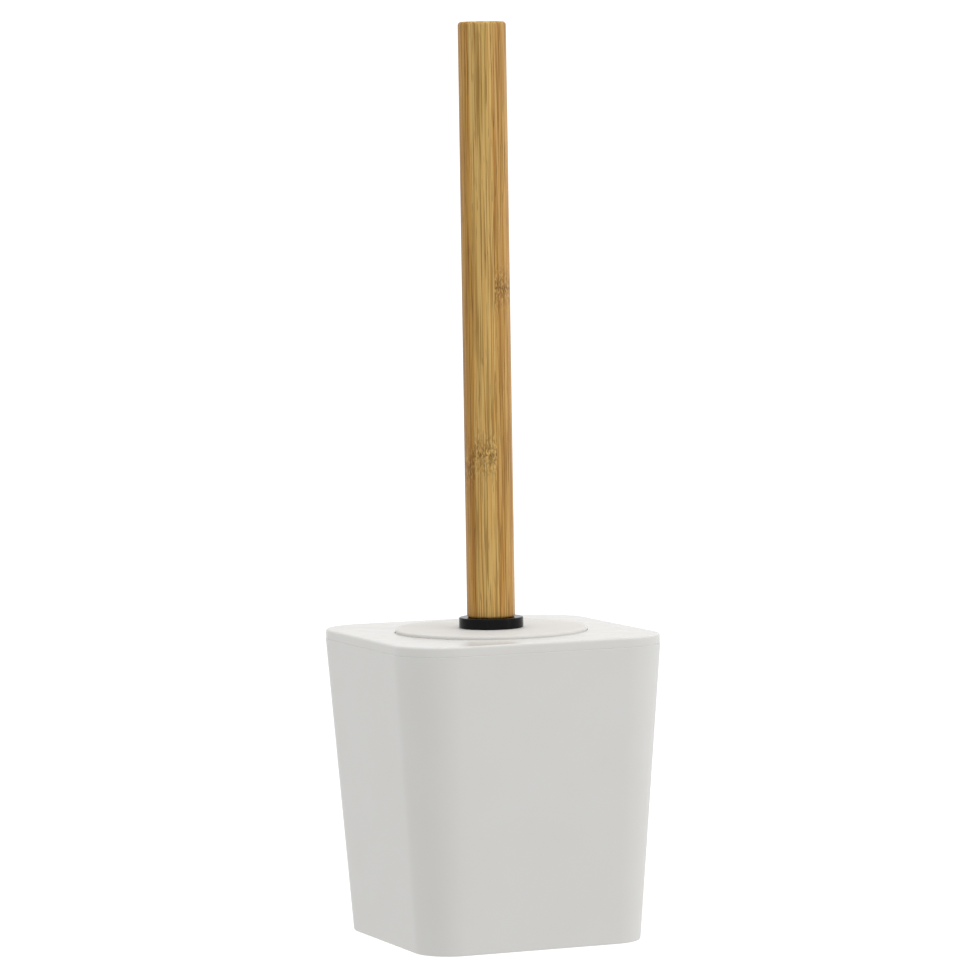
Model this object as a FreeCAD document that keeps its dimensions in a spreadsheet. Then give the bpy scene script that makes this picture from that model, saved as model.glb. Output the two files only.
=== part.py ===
"""Toilet brush in a square pot, as a parametric FreeCAD document, in millimetres.

The pot is a tapered square tub with rounded corners. A square cover with a round opening plugs
into its mouth. The brush hangs in that opening by a round splash lid, which sits in a shallow seat.
Above the lid are a collar and a handle glued from three bamboo strips, and below it are a stem
and a tufted head. The handle, collar and stem are pulled together by one stud.

The origin is the centre of the pot's foot, on the floor, with +Z up.
"""

import FreeCAD
import Part
import Sketcher

import math
import os
import re

DIMENSIONS = [
    # the pot
    ("pot_height", 123.4),
    ("pot_top_width", 116.8),
    ("pot_taper", 8.8),
    ("pot_top_corner", 21.4),
    ("pot_base_corner", 15.9),
    ("pot_wall", 2.0),
    ("pot_floor", 3.2),
    ("pot_floor_chamfer", 2.5),
    ("pot_foot_chamfer", 0.8),
    ("pot_lip_chamfer", 0.15),
    ("foot_ring_width", 5.0),
    ("foot_recess", 1.0),
    # the cover
    ("cover_height", 4.0),
    ("cover_plate", 2.6),
    ("cover_setback", 0.15),
    ("cover_top_round", 1.0),
    ("cover_seam_round", 0.1),
    ("skirt_depth", 8.0),
    ("skirt_wall", 1.6),
    ("skirt_gap", 0.3),
    ("opening_clearance", 2.0),
    ("opening_round", 0.5),
    ("guide_depth", 5.0),
    ("guide_wall", 1.6),
    ("seat_depth", 1.1),
    ("seat_gap", 0.3),
    # the splash lid
    ("lid_overlap", 2.9),
    ("lid_thickness", 2.45),
    ("lid_top_round", 0.7),
    ("lid_ring_gap", 0.7),
    ("lid_ring_wall", 1.4),
    ("lid_ring_depth", 3.0),
    ("lid_hub_wall", 4.42),
    ("lid_hub_depth", 4.0),
    ("lid_play", 0.15),
    # the stem and the head's core
    ("boss_wall", 2.5),
    ("boss_gap", 0.08),
    ("stem_shoulder", 1.5),
    ("stem_length", 13.15),
    ("core_diameter", 25.0),
    ("core_flare", 8.0),
    ("core_round", 2.0),
    # the bristles
    ("bristle_diameter", 70.0),
    ("bristle_clearance", 10.0),
    ("tufts_in_row", 12),
    ("tuft_root_diameter", 3.2),
    ("tuft_tip_diameter", 7.2),
    ("socket_depth", 4.0),
    ("anchor_length", 2.4),
    ("anchor_width", 1.2),
    ("anchor_thickness", 0.4),
    # the collar, the handle and what joins them to the stem
    ("collar_margin", 3.4),
    ("collar_height", 4.3),
    ("collar_round", 0.5),
    ("handle_diameter", 20.0),
    ("handle_length", 246.8),
    ("handle_top_round", 1.5),
    ("handle_foot_round", 1.0),
    ("grain_angle", -22.6),
    ("middle_strip_width", 9.3),
    ("middle_strip_shift", -1.05),
    ("stud_diameter", 8.0),
    ("stud_chamfer", 0.8),
    ("stud_in_stem", 20.0),
    ("stud_end_gap", 2.0),
    ("insert_wall", 1.0),
    ("insert_length", 24.0),
]

# What follows from the dimensions, as expressions on the sheet's cells. First the widths: the
# opening lets the bristles through, the lid rests over its edge, and the stud sets the bores.
POT_BASE_WIDTH = "(pot_top_width - 2 * pot_taper)"
OPENING_DIAMETER = "(bristle_diameter + 2 * opening_clearance)"
LID_DIAMETER = f"({OPENING_DIAMETER} + 2 * lid_overlap)"
LID_RING_DIAMETER = f"({OPENING_DIAMETER} - 2 * lid_ring_gap)"
BOSS_DIAMETER = "(stud_diameter + 2 * boss_wall)"
LID_BORE_DIAMETER = f"({BOSS_DIAMETER} + 2 * boss_gap)"
LID_HUB_DIAMETER = f"({LID_BORE_DIAMETER} + 2 * lid_hub_wall)"
STEM_RADIUS = f"({BOSS_DIAMETER} / 2 + stem_shoulder)"
INSERT_DIAMETER = "(stud_diameter + 2 * insert_wall)"
COLLAR_DIAMETER = "(handle_diameter + 2 * collar_margin)"

# Then the heights.
COVER_TOP = "(pot_height + cover_height)"
COVER_UNDERSIDE = f"({COVER_TOP} - cover_plate)"
SEAT = f"({COVER_TOP} - seat_depth)"
LID_TOP = f"({SEAT} + lid_thickness)"
STEM_SHOULDER = f"({SEAT} - lid_hub_depth - lid_play)"
BOSS_TOP = f"({LID_TOP} + lid_play)"
COLLAR_TOP = f"({BOSS_TOP} + collar_height)"
HANDLE_TOP = f"({COLLAR_TOP} + handle_length)"
FLARE_TOP = f"({STEM_SHOULDER} - stem_length)"
HEAD_TOP = f"({FLARE_TOP} - core_flare)"
TIP_CENTRE = "(bristle_clearance + bristle_diameter / 2)"

# The bristle rows: straight ones spread up the head, then tilted ones round its end, down to one
# tuft at the tip.
STRAIGHT_ROWS = 7
ROW_PITCH = f"(({HEAD_TOP} - {TIP_CENTRE}) / {STRAIGHT_ROWS})"
TILTED_ROWS = [(28.0, 12), (56.0, 7)]

UP = FreeCAD.Vector(0, 0, 1)
ACROSS = FreeCAD.Vector(0, 1, 0)
CIRCLE_CENTRE = 3
LINE_START, LINE_END = 1, 2

document = FreeCAD.newDocument("ToiletBrush")
sheet = document.addObject("Spreadsheet::Sheet", "dims")
for row_number, (alias, number) in enumerate(DIMENSIONS, start=1):
    sheet.set(f"A{row_number}", alias)
    sheet.set(f"B{row_number}", str(number))
    sheet.setAlias(f"B{row_number}", alias)
document.recompute()

ALIASES = re.compile(r"\b(" + "|".join(alias for alias, _ in DIMENSIONS) + r")\b")


def on_sheet(expression):
    """The expression with each dimension written as a cell of the sheet."""
    return ALIASES.sub(r"dims.\1", str(expression))


def size(expression):
    """What an expression comes to, as a number."""
    return float(sheet.evalExpression(on_sheet(expression)))


def bind(thing, **properties):
    """Ties properties to the sheet. A double underscore in a name stands for a dot."""
    for name, expression in properties.items():
        thing.setExpression(name.replace("__", "."), on_sheet(expression))


def new_body(name):
    """An empty body that may hold several separate solids."""
    body = document.addObject("PartDesign::Body", name)
    body.Label = name
    body.AllowCompound = True
    return body


def origin_of(body, role):
    """One of the body's own origin planes or axes."""
    return next(f for f in body.Origin.OriginFeatures if f.Role == role)


def attach(feature, body, z):
    """Lays a feature on the body's XY plane, raised to height z."""
    feature.AttachmentSupport = [(origin_of(body, "XY_Plane"), "")]
    feature.MapMode = "FlatFace"
    bind(feature, AttachmentOffset__Base__z=z)


def add_circle(sketch, diameter):
    """A circle about the sketch's origin."""
    circle = Part.Circle(FreeCAD.Vector(0, 0, 0), UP, size(diameter) / 2)
    index = sketch.addGeometry(circle, False)
    sketch.addConstraint(Sketcher.Constraint("Coincident", index, CIRCLE_CENTRE, -1, 1))
    number = sketch.addConstraint(Sketcher.Constraint("Diameter", index, size(diameter)))
    bind(sketch, **{f"Constraints[{number}]": diameter})


def add_rounded_square(sketch, width, corner):
    """A square about the sketch's origin, with an arc at each corner."""
    half, radius = size(width) / 2, size(corner)
    inner = half - radius
    quarter = math.pi / 2
    sides, arcs = [], []
    for turn in range(4):
        spin = FreeCAD.Rotation(UP, 90 * turn)
        start = spin.multVec(FreeCAD.Vector(half, -inner, 0))
        end = spin.multVec(FreeCAD.Vector(half, inner, 0))
        centre = spin.multVec(FreeCAD.Vector(inner, inner, 0))
        circle = Part.Circle(centre, UP, radius)
        sides.append(sketch.addGeometry(Part.LineSegment(start, end), False))
        arcs.append(sketch.addGeometry(Part.ArcOfCircle(circle, turn * quarter, (turn + 1) * quarter), False))
    for turn in range(4):
        following = sides[(turn + 1) % 4]
        sketch.addConstraint(Sketcher.Constraint("Tangent", sides[turn], LINE_END, arcs[turn], LINE_START))
        sketch.addConstraint(Sketcher.Constraint("Tangent", arcs[turn], LINE_END, following, LINE_START))
        upright = "Vertical" if turn % 2 == 0 else "Horizontal"
        sketch.addConstraint(Sketcher.Constraint(upright, sides[turn]))
        if turn:
            sketch.addConstraint(Sketcher.Constraint("Equal", arcs[0], arcs[turn]))
    sketch.addConstraint(Sketcher.Constraint("Equal", sides[0], sides[1]))
    sketch.addConstraint(Sketcher.Constraint("Symmetric", arcs[0], CIRCLE_CENTRE, arcs[2], CIRCLE_CENTRE, -1, 1))
    across = Sketcher.Constraint("DistanceX", sides[2], LINE_START, sides[0], LINE_START, 2 * half)
    width_number = sketch.addConstraint(across)
    radius_number = sketch.addConstraint(Sketcher.Constraint("Radius", arcs[0], radius))
    bind(sketch, **{f"Constraints[{width_number}]": width, f"Constraints[{radius_number}]": corner})


def pot_outline(z, inset="0"):
    """The pot's tapered outside at height z, brought in by an inset, as (width, corner)."""
    width = f"({POT_BASE_WIDTH} + 2 * pot_taper * ({z}) / pot_height - 2 * ({inset}))"
    corner = f"(pot_base_corner + (pot_top_corner - pot_base_corner) * ({z}) / pot_height - ({inset}))"
    return width, corner


def new_sketch(body, name, z, circles=(), squares=()):
    """A sketch at height z, holding circles by diameter and squares by (width, corner)."""
    sketch = body.newObject("Sketcher::SketchObject", name)
    attach(sketch, body, z)
    for diameter in circles:
        add_circle(sketch, diameter)
    for width, corner in squares:
        add_rounded_square(sketch, width, corner)
    document.recompute()
    return sketch


def extrude(body, kind, sketch, length, downwards):
    """A Pad or a Pocket of a sketch, up or down. A pocket's own direction is down."""
    before = 0.0 if body.Shape.isNull() else body.Shape.Volume
    feature = body.newObject("PartDesign::" + kind, sketch.Name + "_" + kind.lower())
    feature.Profile = sketch
    bind(feature, Length=length)
    feature.Reversed = downwards if kind == "Pad" else not downwards
    body.Tip = feature
    document.recompute()
    changed = body.Shape.Volume - before
    if (changed <= 0) == (kind == "Pad"):
        raise RuntimeError(f"{feature.Name} changed nothing")
    return feature


def pad(body, name, z, length, downwards=False, **outlines):
    """A solid raised from the outlines at height z."""
    return extrude(body, "Pad", new_sketch(body, name, z, **outlines), length, downwards)


def pocket(body, name, z, depth, downwards=True, **outlines):
    """A hollow sunk from the outlines at height z."""
    return extrude(body, "Pocket", new_sketch(body, name, z, **outlines), depth, downwards)


def level_edges(feature, z, narrowest=0.0, widest=math.inf):
    """Names of the edges that lie level at height z, and reach out to between two distances."""
    found = []
    for number, edge in enumerate(feature.Shape.Edges, start=1):
        box = edge.BoundBox
        reach = max(abs(box.XMin), abs(box.XMax), abs(box.YMin), abs(box.YMax))
        level = abs(box.ZMin - z) < 0.01 and abs(box.ZMax - z) < 0.01
        if level and narrowest <= reach <= widest:
            found.append(f"Edge{number}")
    if not found:
        raise RuntimeError(f"no level edges at {z} on {feature.Name}")
    return found


def round_edges(body, name, edges, radius, kind="Fillet"):
    """A fillet or chamfer of the body's tip along the named edges."""
    base = body.Tip
    feature = body.newObject("PartDesign::" + kind, name)
    feature.Base = (base, edges)
    bind(feature, **{"Radius" if kind == "Fillet" else "Size": radius})
    body.Tip = feature
    document.recompute()
    return feature


def primitive(body, kind, name, z, **sizes):
    """An additive or subtractive primitive standing at height z on the body's axis."""
    feature = body.newObject("PartDesign::" + kind, name)
    attach(feature, body, z)
    bind(feature, **sizes)
    body.Tip = feature
    document.recompute()
    return feature


def turned(body, originals, count, name):
    """The features repeated evenly round the body's axis."""
    pattern = body.newObject("PartDesign::PolarPattern", name)
    pattern.Originals = originals
    pattern.Axis = (origin_of(body, "Z_Axis"), [""])
    pattern.Angle = 360
    bind(pattern, Occurrences=count)
    body.Tip = pattern
    document.recompute()
    return pattern


def straight_loft(body, kind, name, stations):
    """A straight-sided block or hollow through pot outlines, given as (height, inset)."""
    sections = []
    for number, (z, inset) in enumerate(stations, start=1):
        outline = pot_outline(z, inset)
        sections.append(new_sketch(body, f"{name}_{number}", z, squares=[outline]))
    loft = body.newObject("PartDesign::" + kind, name)
    loft.Profile = sections[0]
    loft.Sections = sections[1:]
    loft.Ruled = True
    body.Tip = loft
    document.recompute()
    return loft


def make_pot():
    """The tub: a tapered shell with a floor, standing on a ring round a shallow recess."""
    body = new_body("pot_body")
    outside = [
        ("0", "pot_foot_chamfer"),
        ("pot_foot_chamfer", "0"),
        ("(pot_height - pot_lip_chamfer)", "0"),
        ("pot_height", "pot_lip_chamfer"),
    ]
    straight_loft(body, "AdditiveLoft", "outside", outside)
    inside = [
        ("pot_floor", "(pot_wall + pot_floor_chamfer)"),
        ("(pot_floor + pot_floor_chamfer)", "pot_wall"),
        ("pot_height", "pot_wall"),
    ]
    straight_loft(body, "SubtractiveLoft", "inside", inside)
    recess = [pot_outline("0", "foot_ring_width")]
    pocket(body, "foot_hollow", "0", "foot_recess", downwards=False, squares=recess)
    return body


def make_cover():
    """The square cover: a plate with a skirt into the pot, a round opening and the lid's seat."""
    body = new_body("top_cover")
    rim = [("(pot_top_width - 2 * cover_setback)", "(pot_top_corner - cover_setback)")]
    plate = pad(body, "plate", "pot_height", "cover_height", squares=rim)
    round_edges(body, "top_round", level_edges(plate, size(COVER_TOP)), "cover_top_round")
    round_edges(body, "seam_round", level_edges(body.Tip, size("pot_height")), "cover_seam_round")

    skirt_end = "(pot_height - skirt_depth)"
    skirt_inset = "(pot_wall + skirt_gap)"
    skirt_outside = pot_outline(skirt_end, skirt_inset)
    skirt_inside = pot_outline(skirt_end, f"({skirt_inset} + skirt_wall)")
    pad(body, "skirt", "pot_height", "skirt_depth", downwards=True, squares=[skirt_outside, skirt_inside])
    hollow_depth = "(cover_height - cover_plate)"
    pocket(body, "underside", "pot_height", hollow_depth, downwards=False, squares=[skirt_inside])

    guide = [f"({OPENING_DIAMETER} + 2 * guide_wall)", OPENING_DIAMETER]
    pad(body, "guide", COVER_UNDERSIDE, "guide_depth", downwards=True, circles=guide)
    pocket(body, "opening", COVER_TOP, "cover_plate", circles=[OPENING_DIAMETER])
    pocket(body, "seat", COVER_TOP, "seat_depth", circles=[f"({LID_DIAMETER} + 2 * seat_gap)"])
    reach = size(OPENING_DIAMETER) / 2
    mouth = level_edges(body.Tip, size(SEAT), reach - 0.1, reach + 0.1)
    round_edges(body, "opening_round_edge", mouth, "opening_round")
    return body


def make_lid():
    """The splash lid: a disc with a ring that finds the opening and a hub round the stem's boss."""
    body = new_body("splash_lid")
    disc = pad(body, "disc", SEAT, "lid_thickness", circles=[LID_DIAMETER])
    round_edges(body, "rim_round", level_edges(disc, size(LID_TOP)), "lid_top_round")
    ring = [LID_RING_DIAMETER, f"({LID_RING_DIAMETER} - 2 * lid_ring_wall)"]
    pad(body, "ring", SEAT, "lid_ring_depth", downwards=True, circles=ring)
    pad(body, "hub", SEAT, "lid_hub_depth", downwards=True, circles=[LID_HUB_DIAMETER])
    bore_depth = "(lid_thickness + lid_hub_depth)"
    pocket(body, "bore", LID_TOP, bore_depth, circles=[LID_BORE_DIAMETER])
    return body


def tuft_rows():
    """Each row of tufts as (name, height of its centre, tilt below level, count, first angle)."""
    rows = []
    for number in range(STRAIGHT_ROWS):
        centre = f"({TIP_CENTRE} + {STRAIGHT_ROWS - 1 - number} * {ROW_PITCH})"
        rows.append((f"bristle_row_{number + 1:02d}", centre, 0.0, "tufts_in_row", number % 2))
    for number, (tilt, count) in enumerate(TILTED_ROWS, start=STRAIGHT_ROWS):
        rows.append((f"bristle_row_{number + 1:02d}", TIP_CENTRE, tilt, str(count), number % 2))
    rows.append(("bristle_tip", TIP_CENTRE, 90.0, "1", 0))
    return [(name, centre, tilt, count, shift * 180 / size(count)) for name, centre, tilt, count, shift in rows]


def add_profile(sketch, corners):
    """A closed outline through corners given as (x, y) expressions from the sketch's origin."""
    points = [FreeCAD.Vector(size(x), size(y), 0) for x, y in corners]
    lines = []
    for number, point in enumerate(points):
        line = Part.LineSegment(point, points[(number + 1) % len(points)])
        lines.append(sketch.addGeometry(line, False))
    for number, (x, y) in enumerate(corners):
        before = lines[number - 1]
        sketch.addConstraint(Sketcher.Constraint("Coincident", before, LINE_END, lines[number], LINE_START))
        for kind, axis, expression in (("DistanceX", -2, x), ("DistanceY", -1, y)):
            if expression == "0":
                sketch.addConstraint(Sketcher.Constraint("PointOnObject", lines[number], LINE_START, axis))
                continue
            offset = Sketcher.Constraint(kind, -1, 1, lines[number], LINE_START, size(expression))
            bind(sketch, **{f"Constraints[{sketch.addConstraint(offset)}]": expression})


def turned_on_tuft(body, kind, name, row, corners):
    """A profile spun about the first tuft's own line, as (distance from the head's axis, radius)."""
    _, centre, tilt, _, first = row
    sketch = body.newObject("Sketcher::SketchObject", name + "_outline")
    sketch.AttachmentSupport = [(origin_of(body, "XZ_Plane"), "")]
    sketch.MapMode = "FlatFace"
    spin = FreeCAD.Rotation(ACROSS, first) * FreeCAD.Rotation(UP, -tilt)
    sketch.AttachmentOffset = FreeCAD.Placement(FreeCAD.Vector(0, 0, 0), spin)
    bind(sketch, AttachmentOffset__Base__y=centre)
    add_profile(sketch, corners)
    feature = body.newObject("PartDesign::" + kind, name)
    feature.Profile = sketch
    feature.ReferenceAxis = (sketch, ["H_Axis"])
    feature.Angle = 360
    body.Tip = feature
    document.recompute()
    return feature


def all_round(row, feature):
    """The first tuft's feature repeated round its row, unless the row is a single tuft."""
    if size(row[3]) > 1:
        turned(feature.getParentGeoFeatureGroup(), [feature], row[3], feature.Name + "_round")


SOCKET_END = "(core_diameter / 2 - socket_depth)"
TUFT_ROOT = f"({SOCKET_END} + anchor_thickness)"
TUFT_RADIUS = "(tuft_root_diameter / 2)"


def make_core():
    """The stem and the head's core, moulded in one, with a socket for every tuft."""
    body = new_body("brush_core")
    primitive(body, "AdditiveSphere", "tip", TIP_CENTRE, Radius="core_diameter / 2")
    head = {"Radius": "core_diameter / 2", "Height": f"{HEAD_TOP} - {TIP_CENTRE}"}
    primitive(body, "AdditiveCylinder", "head", TIP_CENTRE, **head)
    flare = {"Radius1": "core_diameter / 2", "Radius2": STEM_RADIUS, "Height": "core_flare"}
    primitive(body, "AdditiveCone", "flare", HEAD_TOP, **flare)
    primitive(body, "AdditiveCylinder", "stem", FLARE_TOP, Radius=STEM_RADIUS, Height="stem_length")
    flare_edges = level_edges(body.Tip, size(HEAD_TOP)) + level_edges(body.Tip, size(FLARE_TOP))
    round_edges(body, "flare_round", flare_edges, "core_round")
    pad(body, "boss", STEM_SHOULDER, f"{BOSS_TOP} - {STEM_SHOULDER}", circles=[BOSS_DIAMETER])
    pocket(body, "stud_socket", BOSS_TOP, "stud_in_stem", circles=["stud_diameter"])
    beyond = "(core_diameter / 2 + 1)"
    socket = [(SOCKET_END, "0"), (beyond, "0"), (beyond, TUFT_RADIUS), (SOCKET_END, TUFT_RADIUS)]
    for row in tuft_rows():
        all_round(row, turned_on_tuft(body, "Groove", "socket_" + row[0], row, socket))
    return body


def make_bristles():
    """Each row's tufts: a straight root in the core, and a cone where the filaments spread."""
    tuft = [
        (TUFT_ROOT, "0"),
        ("(bristle_diameter / 2)", "0"),
        ("(bristle_diameter / 2)", "(tuft_tip_diameter / 2)"),
        ("(core_diameter / 2)", TUFT_RADIUS),
        (TUFT_ROOT, TUFT_RADIUS),
    ]
    bodies = []
    for row in tuft_rows():
        body = new_body(row[0])
        all_round(row, turned_on_tuft(body, "Revolution", "tuft_" + row[0], row, tuft))
        bodies.append(body)
    return bodies


def make_anchors():
    """The flat wire anchor at the bottom of each socket, which holds the folded tuft."""
    anchors = []
    for name, centre, tilt, count, first in tuft_rows():
        reach = size(SOCKET_END)
        for number in range(round(size(count))):
            angle = first + 360 * number / size(count)
            spin = FreeCAD.Rotation(UP, angle) * FreeCAD.Rotation(ACROSS, 90 + tilt)
            place = FreeCAD.Vector(0, 0, size(centre)) + spin.multVec(FreeCAD.Vector(0, 0, reach))
            length, width = size("anchor_length"), size("anchor_width")
            plate = Part.makeBox(length, width, size("anchor_thickness"))
            plate.translate(FreeCAD.Vector(-length / 2, -width / 2, 0))
            plate.Placement = FreeCAD.Placement(place, spin) * plate.Placement
            anchors.append(plate)
    feature = document.addObject("Part::Feature", "tuft_anchors")
    feature.Label = "tuft_anchors"
    feature.Shape = Part.makeCompound(anchors)
    return feature


def make_collar():
    """The black collar: a thick washer that the handle stands on."""
    body = new_body("collar")
    ring = pad(body, "ring", BOSS_TOP, "collar_height", circles=[COLLAR_DIAMETER, "stud_diameter"])
    rim = size(COLLAR_DIAMETER) / 2
    edges = level_edges(ring, size(COLLAR_TOP), rim - 0.1) + level_edges(ring, size(BOSS_TOP), rim - 0.1)
    round_edges(body, "rim_round", edges, "collar_round")
    return body


def make_handle_strips():
    """The handle: a round rod with a bore for the insert, split along two glue planes."""
    rod = document.addObject("Part::Cylinder", "rod")
    bind(rod, Radius="handle_diameter / 2", Height="handle_length", Placement__Base__z=COLLAR_TOP)
    document.recompute()
    rounded = document.addObject("Part::Fillet", "rounded_rod")
    rounded.Base = rod
    ends = ((HANDLE_TOP, "handle_top_round"), (COLLAR_TOP, "handle_foot_round"))
    rims = [(level_edges(rod, size(z))[0], size(radius)) for z, radius in ends]
    rounded.Edges = [(int(edge.removeprefix("Edge")), radius, radius) for edge, radius in rims]
    bore = document.addObject("Part::Cylinder", "insert_bore")
    bind(bore, Radius=f"{INSERT_DIAMETER} / 2", Height="insert_length", Placement__Base__z=COLLAR_TOP)
    bored = document.addObject("Part::Cut", "bored_rod")
    bored.Base = rounded
    bored.Tool = bore
    glue_left = "(middle_strip_shift - middle_strip_width / 2)"
    glue_right = "(middle_strip_shift + middle_strip_width / 2)"
    slabs = [
        ("handle_strip_left", "(-handle_diameter)", glue_left),
        ("handle_strip_middle", glue_left, glue_right),
        ("handle_strip_right", glue_right, "handle_diameter"),
    ]
    turn = math.radians(size("grain_angle"))
    strips = []
    for name, start, end in slabs:
        slab = document.addObject("Part::Box", "slab_" + name)
        slab.Placement.Rotation = FreeCAD.Rotation(UP, size("grain_angle"))
        across, along = math.cos(turn), math.sin(turn)
        bind(
            slab,
            Length=f"{end} - {start}",
            Width="2 * handle_diameter",
            Height="handle_length + 2",
            Placement__Base__x=f"{start} * {across:.12f} + handle_diameter * {along:.12f}",
            Placement__Base__y=f"{start} * {along:.12f} - handle_diameter * {across:.12f}",
            Placement__Base__z=f"{COLLAR_TOP} - 1",
        )
        strip = document.addObject("Part::Common", name)
        strip.Label = name
        strip.Base = bored
        strip.Tool = slab
        strips.append(strip)
    document.recompute()
    return strips


def make_insert():
    """The threaded sleeve glued into the handle's foot. Its thread is a plain bore."""
    body = new_body("threaded_insert")
    circles = [INSERT_DIAMETER, "stud_diameter"]
    pad(body, "sleeve", COLLAR_TOP, "insert_length", circles=circles)
    return body


def make_stud():
    """The stud from the stem up into the insert, at its thread's outer diameter."""
    body = new_body("stud")
    foot = f"({BOSS_TOP} - stud_in_stem)"
    top = f"({COLLAR_TOP} + insert_length - stud_end_gap)"
    rod = pad(body, "rod_outline", foot, f"{top} - {foot}", circles=["stud_diameter"])
    ends = level_edges(rod, size(foot)) + level_edges(rod, size(top))
    round_edges(body, "end_chamfer", ends, "stud_chamfer", kind="Chamfer")
    return body


def check_document(parts):
    """Stops if any object failed, or any sub-part has no valid shape."""
    for thing in document.Objects:
        if "Invalid" in thing.State or "Error" in thing.State:
            raise RuntimeError(f"{thing.Label} failed: {thing.State}")
    for part in parts:
        if part.Shape.isNull() or not part.Shape.isValid() or not part.Shape.Solids:
            raise RuntimeError(f"{part.Label} has no valid solid")


def main():
    parts = [make_pot(), make_cover(), make_lid(), make_core(), *make_bristles(), make_anchors()]
    parts += [make_collar(), *make_handle_strips(), make_insert(), make_stud()]
    document.recompute()
    check_document(parts)
    os.makedirs("parts", exist_ok=True)
    for part in parts:
        part.Shape.exportStep(f"parts/{part.Label}.step")
        box = part.Shape.optimalBoundingBox(True, False)
        extent = f"{box.XLength:.2f} x {box.YLength:.2f} x {box.ZLength:.2f}"
        print(f"{part.Label}: {len(part.Shape.Solids)} solids, {extent} mm, {part.Shape.Volume:.1f} mm3")


main()
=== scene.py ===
# %% [markdown]
# # A toilet brush in its square pot
#
# The real object is a white plastic pot, square with round corners and wider at the top.
# A square cover drops into its mouth, a round splash lid sits in the cover, and the brush
# hangs from that lid. Above the lid are a black collar and a round handle glued from three
# strips of bamboo.
#
# The CAD frame already says where everything is and what moves. This script adds the looks:
# it works each surface out with numpy, hangs it on the frame's body, and gives it a finish.
# Lengths in the cells below are in millimetres, because that is how such a part is drawn,
# and they become Blender's metres when a mesh is made.

# %% Load the frame
import math

import bpy
import numpy as np
from mathutils import Matrix, Vector


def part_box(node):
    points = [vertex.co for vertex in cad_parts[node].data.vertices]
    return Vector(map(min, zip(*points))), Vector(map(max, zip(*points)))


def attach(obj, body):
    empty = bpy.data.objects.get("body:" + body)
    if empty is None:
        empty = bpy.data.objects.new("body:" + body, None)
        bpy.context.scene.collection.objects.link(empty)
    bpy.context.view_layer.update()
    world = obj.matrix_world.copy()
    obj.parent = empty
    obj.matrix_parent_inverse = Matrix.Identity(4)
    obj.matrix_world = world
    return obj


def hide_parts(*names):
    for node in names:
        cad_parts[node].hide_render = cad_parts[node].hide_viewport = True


MM = 0.001
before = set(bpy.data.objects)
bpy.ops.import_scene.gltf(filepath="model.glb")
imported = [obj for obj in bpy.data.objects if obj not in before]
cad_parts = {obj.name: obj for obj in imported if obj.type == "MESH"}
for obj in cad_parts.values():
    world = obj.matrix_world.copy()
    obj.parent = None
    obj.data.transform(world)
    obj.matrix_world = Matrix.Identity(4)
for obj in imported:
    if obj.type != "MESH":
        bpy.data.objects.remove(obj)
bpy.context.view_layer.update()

# %% [markdown]
# ## Sizes
#
# The frame's boxes give most outer sizes, so those follow the frame if it changes. Corner radii
# and wall thicknesses can't be read from a box, so they are stated here, and so are the pot's
# half widths, the lid's seat, and the handle's and the stud's radii.

# %% Read the sizes
def extent(node):
    """The lowest and highest corner of a node in the frame, in millimetres."""
    low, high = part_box(node)
    return np.array(low) / MM, np.array(high) / MM


pot_high = extent("pot_body")[1]
cover_low, cover_high = extent("top_cover")
lid_high = extent("splash_lid")[1]
collar_low, collar_high = extent("collar")
strip_low, strip_high = extent("handle_strip_middle")

POT_HEIGHT = pot_high[2]
COVER_TOP = cover_high[2]
COVER_HALF = cover_high[0]
TOP_HALF, BASE_HALF = 58.4, 49.6
TOP_CORNER, BASE_CORNER = 21.4, 15.9
WALL, FLOOR = 2.0, 3.2
LID_RADIUS, LID_TOP = lid_high[0], lid_high[2]
SEAT = 126.3
COLLAR_RADIUS, COLLAR_FOOT, COLLAR_TOP = collar_high[0], collar_low[2], collar_high[2]
HANDLE_RADIUS, HANDLE_FOOT, HANDLE_TOP = 10.0, strip_low[2], strip_high[2]
STUD_RADIUS = 4.0
print(f"pot {2 * TOP_HALF:.1f} mm wide, handle top at {HANDLE_TOP:.1f} mm")

# %% [markdown]
# ## From a grid of points to a mesh
#
# Every new piece is a grid of points: rows along a profile, columns round the axis. Two
# things make such a grid a proper solid. A row that shrinks to one point is a pole, and its
# points become one vertex. And the faces must look outwards, which the signed volume tells:
# it comes out negative if they look in.

# %% Make a mesh from a grid
def grid_faces(rows, columns, poles, closed):
    """Corner numbers of the faces between neighbouring rows and columns, the columns closing."""
    number = np.arange(rows * columns).reshape(rows, columns)
    number[poles] = number[poles, :1]
    below = number if closed else number[:-1]
    above = np.roll(number, -1, axis=0) if closed else number[1:]
    corners = [below, np.roll(below, -1, axis=1), np.roll(above, -1, axis=1), above]
    faces = np.stack(corners, axis=-1).reshape(-1, 4)
    bottom = faces[:, 0] == faces[:, 1]
    top = faces[:, 2] == faces[:, 3]
    return faces[~bottom & ~top], np.concatenate([faces[bottom & ~top][:, 1:], faces[top & ~bottom][:, :3]])


def signed_volume(points, triangles):
    """A sixth of the sum of each triangle's triple product: positive when faces look outwards."""
    a, b, c = (points[triangles[:, k]] for k in range(3))
    return float(np.einsum("ij,ij->", a, np.cross(b, c))) / 6


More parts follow.
